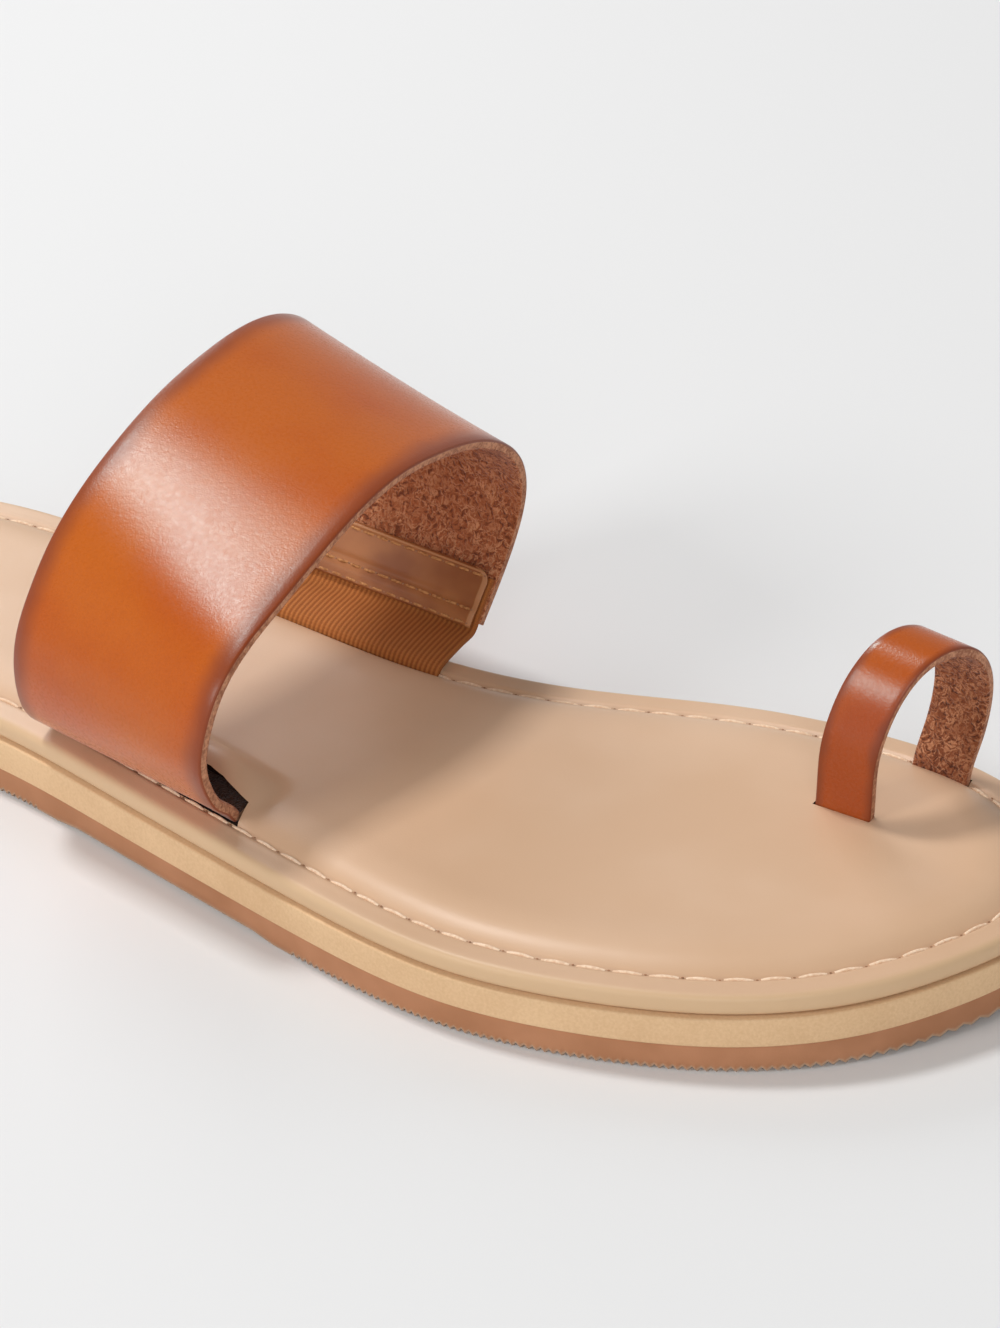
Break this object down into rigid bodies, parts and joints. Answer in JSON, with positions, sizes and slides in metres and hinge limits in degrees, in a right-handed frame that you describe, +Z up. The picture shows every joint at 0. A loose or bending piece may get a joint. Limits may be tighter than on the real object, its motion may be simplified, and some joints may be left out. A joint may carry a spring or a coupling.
{
  "type": "toe loop sandal",
  "caption": "Flat right sandal with a wide leather instep strap on an elastic gore, a leather toe loop, a padded stitched footbed and a layered sole.",
  "frame": {"origin": "centre of the bounding box's bottom face, on the ground that the sole stands on", "axes": "+X to the toe, +Y to the inner (medial) side of the foot, -Y to the outer (lateral) side, +Z up"},
  "size_m": [0.261, 0.1034, 0.0728],
  "materials": {
    "rubber": "matt",
    "foam": "matt",
    "insole": "satin",
    "strap_leather": "burnished satin",
    "elastic": "ribbed, matt",
    "tape_leather": "satin"
  },
  "bodies": {
    "root": {"outsole": "rubber", "midsole": "foam", "footbed": "insole", "instep_strap": "strap_leather", "elastic_gore": "elastic", "gore_tape": "tape_leather", "toe_loop": "strap_leather"}
  },
  "joints": []
}
